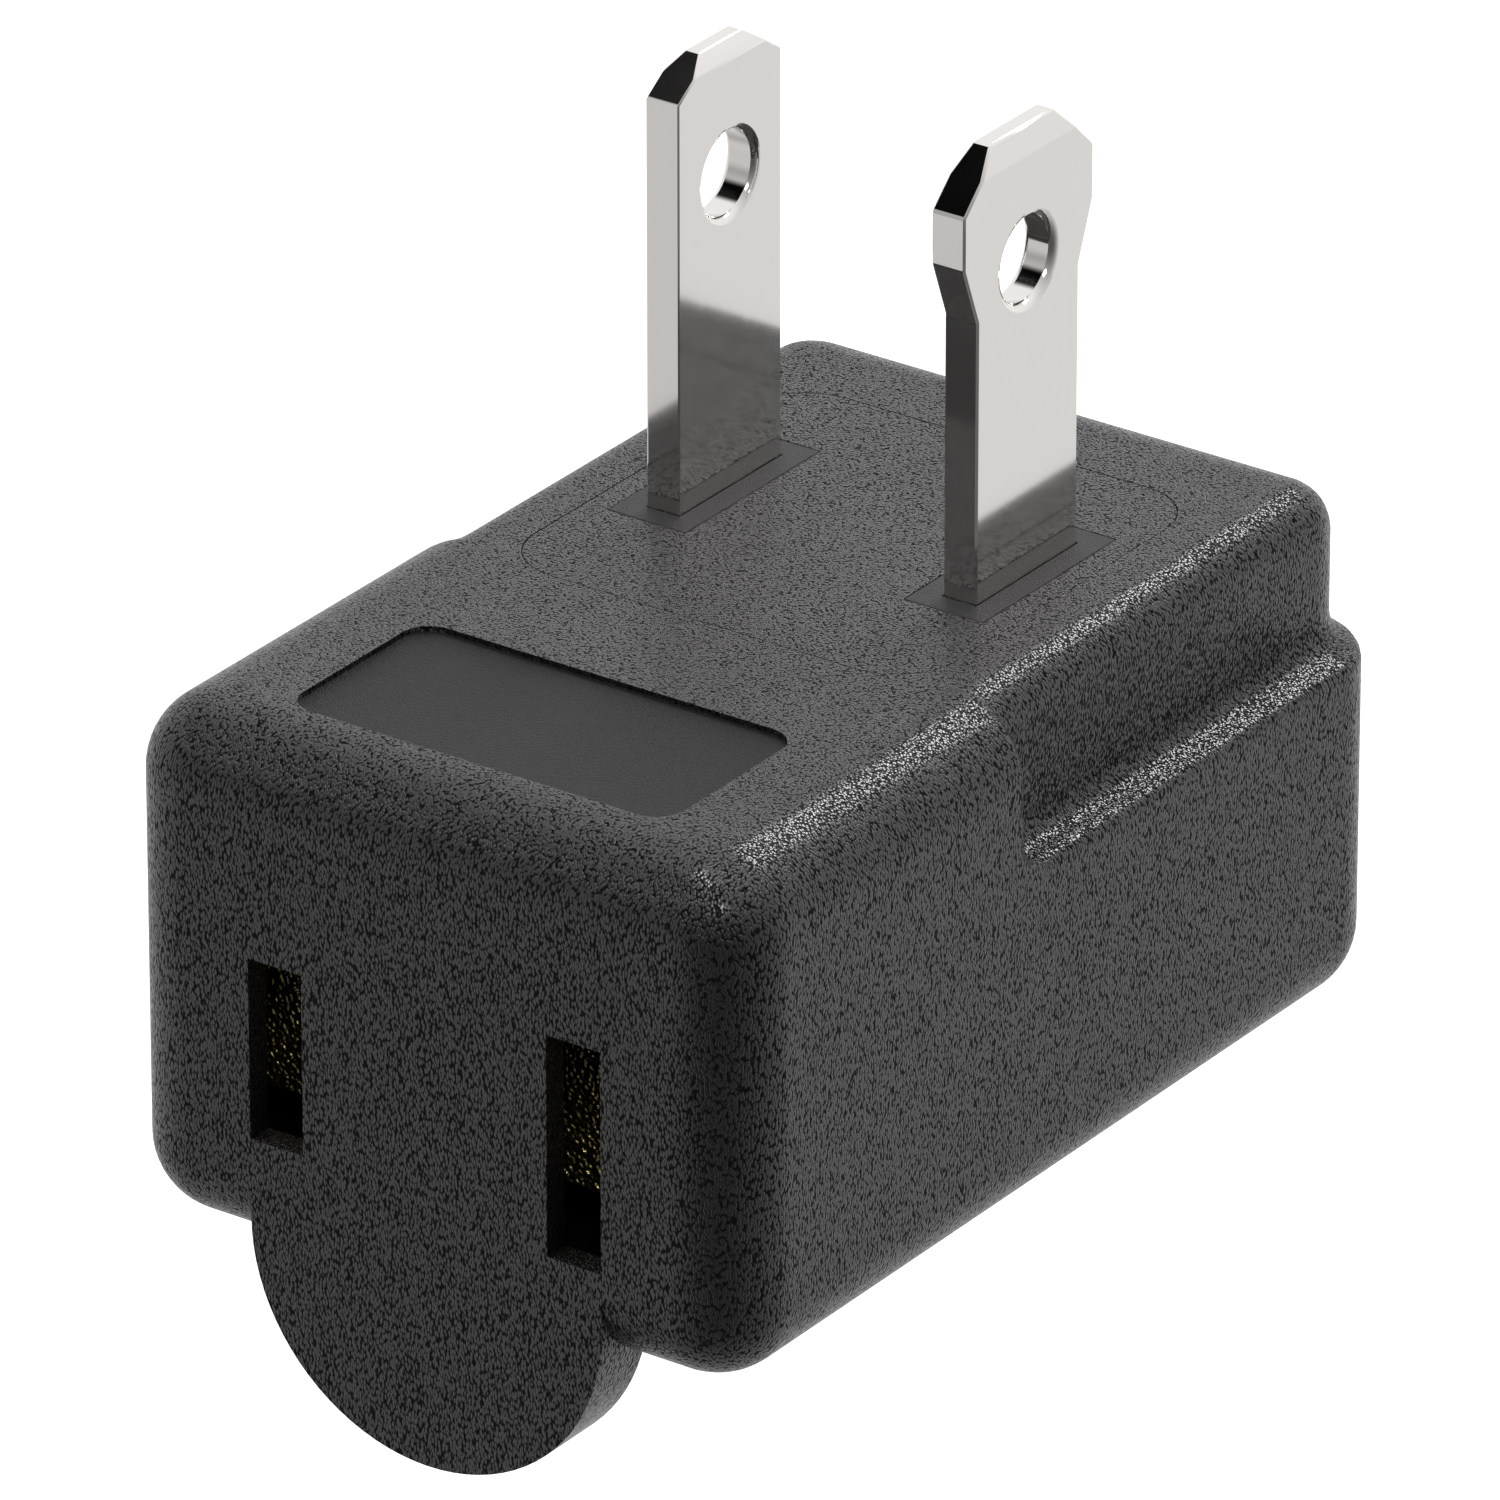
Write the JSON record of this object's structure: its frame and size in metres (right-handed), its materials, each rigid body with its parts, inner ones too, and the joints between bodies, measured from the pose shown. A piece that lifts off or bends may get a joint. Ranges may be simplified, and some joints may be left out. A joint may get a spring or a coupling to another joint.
{
  "type": "right angle plug adapter",
  "caption": "Right-angle mains plug adapter: blades stand up from one face of a rounded block, matching receptacle slots open in an end face, pull tab below.",
  "frame": {"origin": "on the plug face, halfway between the two blades", "axes": "+Z along the blades, away from the body; -Y out of the receptacle face; the narrow blade is at -X and the wide blade at +X"},
  "size_m": [0.0266, 0.0405, 0.043],
  "materials": {
    "shell": "fine leather grain, moulded PVC",
    "collar": "smooth moulded plastic",
    "plated_blade": "nickel-plated brass, polished",
    "brass": "bare rolled brass"
  },
  "bodies": {
    "root": {"housing": "shell", "face_plate": "shell", "hot_collar": "collar", "neutral_collar": "collar", "hot_blade": "plated_blade", "neutral_blade": "plated_blade", "hot_contact": "brass", "neutral_contact": "brass", "hot_rivet_upper": "brass", "hot_rivet_lower": "brass", "neutral_rivet_upper": "brass", "neutral_rivet_lower": "brass"}
  },
  "joints": []
}
